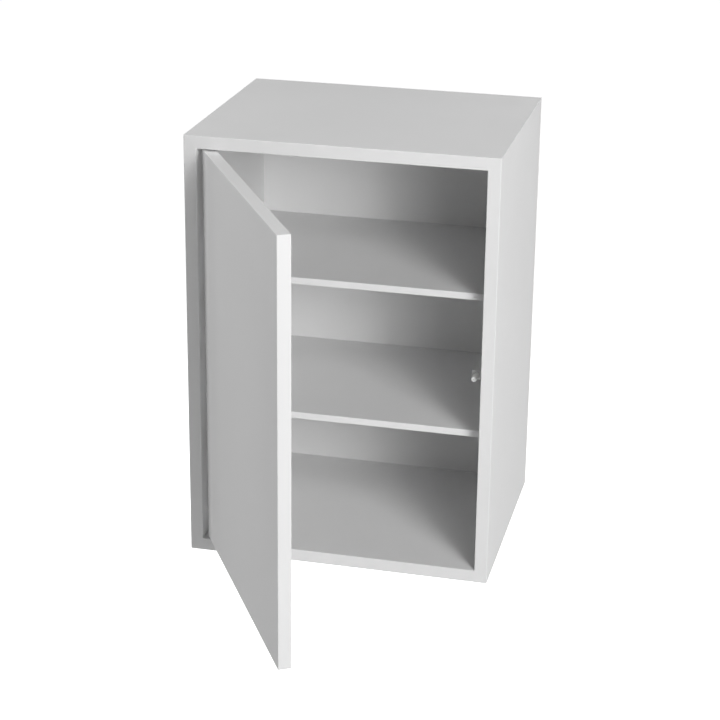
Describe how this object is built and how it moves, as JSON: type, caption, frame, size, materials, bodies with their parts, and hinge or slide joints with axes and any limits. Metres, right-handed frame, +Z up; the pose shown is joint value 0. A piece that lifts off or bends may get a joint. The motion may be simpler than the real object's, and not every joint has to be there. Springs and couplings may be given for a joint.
{
  "type": "wall cabinet",
  "caption": "Hanging wall cabinet with an inset push-to-open door on concealed hinges, thin set-back shelves, and a recessed back panel over a wall-fixing rail.",
  "frame": {"origin": "midway between the two wall bolts, in the rear plane that lies against the wall", "axes": "+Y into the wall, +Z up, +X to the right seen from the front; the front edges are at Y = -0.350"},
  "size_m": [0.436, 0.6837, 0.62],
  "materials": {
    "lacquer": "satin pale grey lacquer on fibreboard",
    "back_lacquer": "satin pale grey lacquered panel",
    "raw_board": "bare fibreboard",
    "beech": "plain beech",
    "steel": "zinc-plated steel",
    "nickel": "nickel-plated pressed steel",
    "latch_grey": "moulded grey plastic",
    "white_plastic": "smooth white moulded plastic"
  },
  "bodies": {
    "carcass": {"side_left": "lacquer", "side_right": "lacquer", "top_panel": "lacquer", "bottom_panel": "lacquer", "corner_biscuits": "beech", "back_panel": "back_lacquer", "hanging_rail": "raw_board", "lower_rail": "raw_board", "rail_dowels": "beech", "wall_bushes": "steel", "shelf_upper": "lacquer", "shelf_lower": "lacquer", "shelf_pins": "steel", "hinge_arm_upper": "nickel", "hinge_arm_lower": "nickel", "hinge_plate_upper": "nickel", "hinge_plate_lower": "nickel", "arm_pins": "steel", "plate_screws": "steel", "arm_screws": "steel", "latch_holder": "latch_grey", "latch_barrel": "latch_grey", "latch_spring": "steel", "latch_screws": "steel"},
    "door": {"door_panel": "lacquer", "hinge_cup_upper": "nickel", "hinge_cup_lower": "nickel", "cup_screws": "steel"},
    "upper_outer_link": {"outer_link_upper": "nickel"},
    "upper_inner_link": {"inner_link_upper": "nickel"},
    "lower_outer_link": {"outer_link_lower": "nickel"},
    "lower_inner_link": {"inner_link_lower": "nickel"},
    "plunger": {"latch_plunger": "white_plastic"}
  },
  "joints": [
    {"name": "door_hinge", "type": "hinge", "parent": "carcass", "child": "door", "pos_m": [-0.19, -0.3505, -0.231], "axis": [0, 0, -1], "range_deg": [-59.37, 40.63]},
    {"name": "upper_outer_link_turn", "type": "hinge", "parent": "carcass", "child": "upper_outer_link", "pos_m": [-0.15951, -0.32759, -0.032], "axis": [0, 0, 1], "range_deg": [-26.32, 18.08]},
    {"name": "upper_inner_link_turn", "type": "hinge", "parent": "carcass", "child": "upper_inner_link", "pos_m": [-0.15539, -0.323, -0.032], "axis": [0, 0, 1], "range_deg": [-21.57, 14.83]},
    {"name": "lower_outer_link_turn", "type": "hinge", "parent": "carcass", "child": "lower_outer_link", "pos_m": [-0.15951, -0.32759, -0.43], "axis": [0, 0, 1], "range_deg": [-26.32, 18.08]},
    {"name": "lower_inner_link_turn", "type": "hinge", "parent": "carcass", "child": "lower_inner_link", "pos_m": [-0.15539, -0.323, -0.43], "axis": [0, 0, 1], "range_deg": [-21.57, 14.83]},
    {"name": "latch_press", "type": "slide", "parent": "carcass", "child": "plunger", "axis": [0, 1, 0], "range_m": [0, 0.003], "stiffness_N_per_m": 300, "springref_m": -0.01}
  ],
  "couplings": [
    {"joint": "upper_outer_link_turn", "follows": "door_hinge", "ratio": 0.44},
    {"joint": "upper_inner_link_turn", "follows": "door_hinge", "ratio": 0.36},
    {"joint": "lower_outer_link_turn", "follows": "door_hinge", "ratio": 0.44},
    {"joint": "lower_inner_link_turn", "follows": "door_hinge", "ratio": 0.36}
  ]
}
